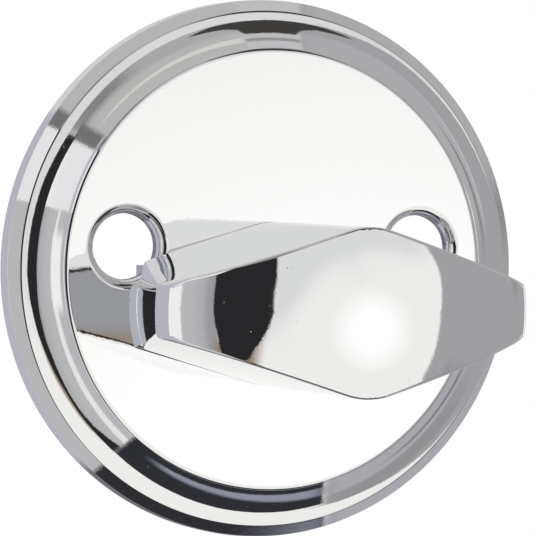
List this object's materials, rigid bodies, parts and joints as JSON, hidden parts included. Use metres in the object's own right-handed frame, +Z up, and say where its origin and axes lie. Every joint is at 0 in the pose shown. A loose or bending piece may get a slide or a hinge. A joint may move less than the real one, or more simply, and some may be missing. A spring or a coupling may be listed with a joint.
{
  "type": "bathroom thumb turn",
  "caption": "Round bathroom thumb turn: a stepped, screwed-on rosette and a tapered hexagonal grip that turns a square spindle by a quarter.",
  "frame": {"origin": "where the axis of the spindle crosses the plane of the door face, which is the back of the rosette's rim", "axes": "-Y out of the door towards the hand, +Y into the door along the spindle, +Z up and +X to the right as seen from the room"},
  "size_m": [0.052, 0.0585, 0.0519],
  "materials": {
    "rosette_chrome": "bright chrome plate on cast zinc, fine pits and a faint orange peel",
    "grip_chrome": "bright chrome plate on cast zinc",
    "bush_acetal": "natural acetal, turned",
    "spring_steel": "bare spring steel",
    "zinc_plate": "zinc plated steel",
    "ring_phosphate": "dark phosphated spring steel",
    "spindle_zinc": "zinc plated steel bar"
  },
  "bodies": {
    "plate": {"rosette": "rosette_chrome", "bearing_bush": "bush_acetal", "wave_washer": "spring_steel"},
    "turn": {"grip": "grip_chrome", "stop_plate": "zinc_plate", "shim_washer": "zinc_plate", "retaining_ring": "ring_phosphate", "spindle": "spindle_zinc", "spindle_pin": "spring_steel"}
  },
  "joints": [
    {"name": "thumb_turn", "type": "hinge", "parent": "plate", "child": "turn", "pos_m": [0, 0, 0], "axis": [0, 1, 0], "range_deg": [0, 90]}
  ]
}
